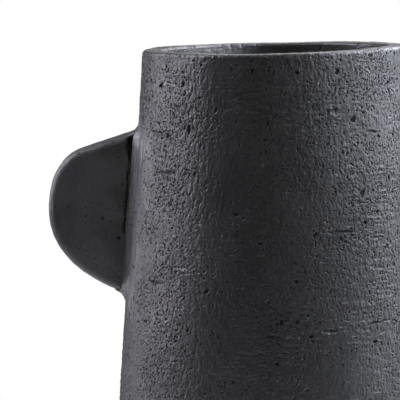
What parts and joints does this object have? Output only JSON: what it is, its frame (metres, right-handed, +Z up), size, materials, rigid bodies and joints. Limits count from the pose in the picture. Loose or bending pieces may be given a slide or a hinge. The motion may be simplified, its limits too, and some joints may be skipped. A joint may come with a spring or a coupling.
{
  "type": "pot",
  "caption": "Tall coil-built black clay pot with a thick flat-topped rim, open at the top, and a solid D-shaped lug on each side.",
  "frame": {"origin": "middle of the flat underside, on the surface the pot stands on", "axes": "+Z up along the pot's own axis; the lugs point along -X and +X; -Y is the front"},
  "size_m": [0.2576, 0.1898, 0.35],
  "materials": {
    "wall_clay": "black reduction-fired clay, unglazed, wiped smooth to a soft sheen, pitted, with level drag marks",
    "lug_clay": "black reduction-fired clay, unglazed, matte, finely sanded face and worn edges",
    "luting_clay": "black reduction-fired clay, unglazed, smeared wet with a finger, smoother and less pitted"
  },
  "bodies": {
    "root": {"base_slab": "wall_clay", "base_corner_coil": "wall_clay", "wall_course_01": "wall_clay", "wall_course_02": "wall_clay", "wall_course_03": "wall_clay", "wall_course_04": "wall_clay", "wall_course_05": "wall_clay", "wall_course_06": "wall_clay", "wall_course_07": "wall_clay", "wall_course_08": "wall_clay", "wall_course_09": "wall_clay", "wall_course_10": "wall_clay", "wall_course_11": "wall_clay", "rim_coil": "wall_clay", "right_lug": "lug_clay", "right_lug_luting": "luting_clay", "left_lug": "lug_clay", "left_lug_luting": "luting_clay"}
  },
  "joints": []
}
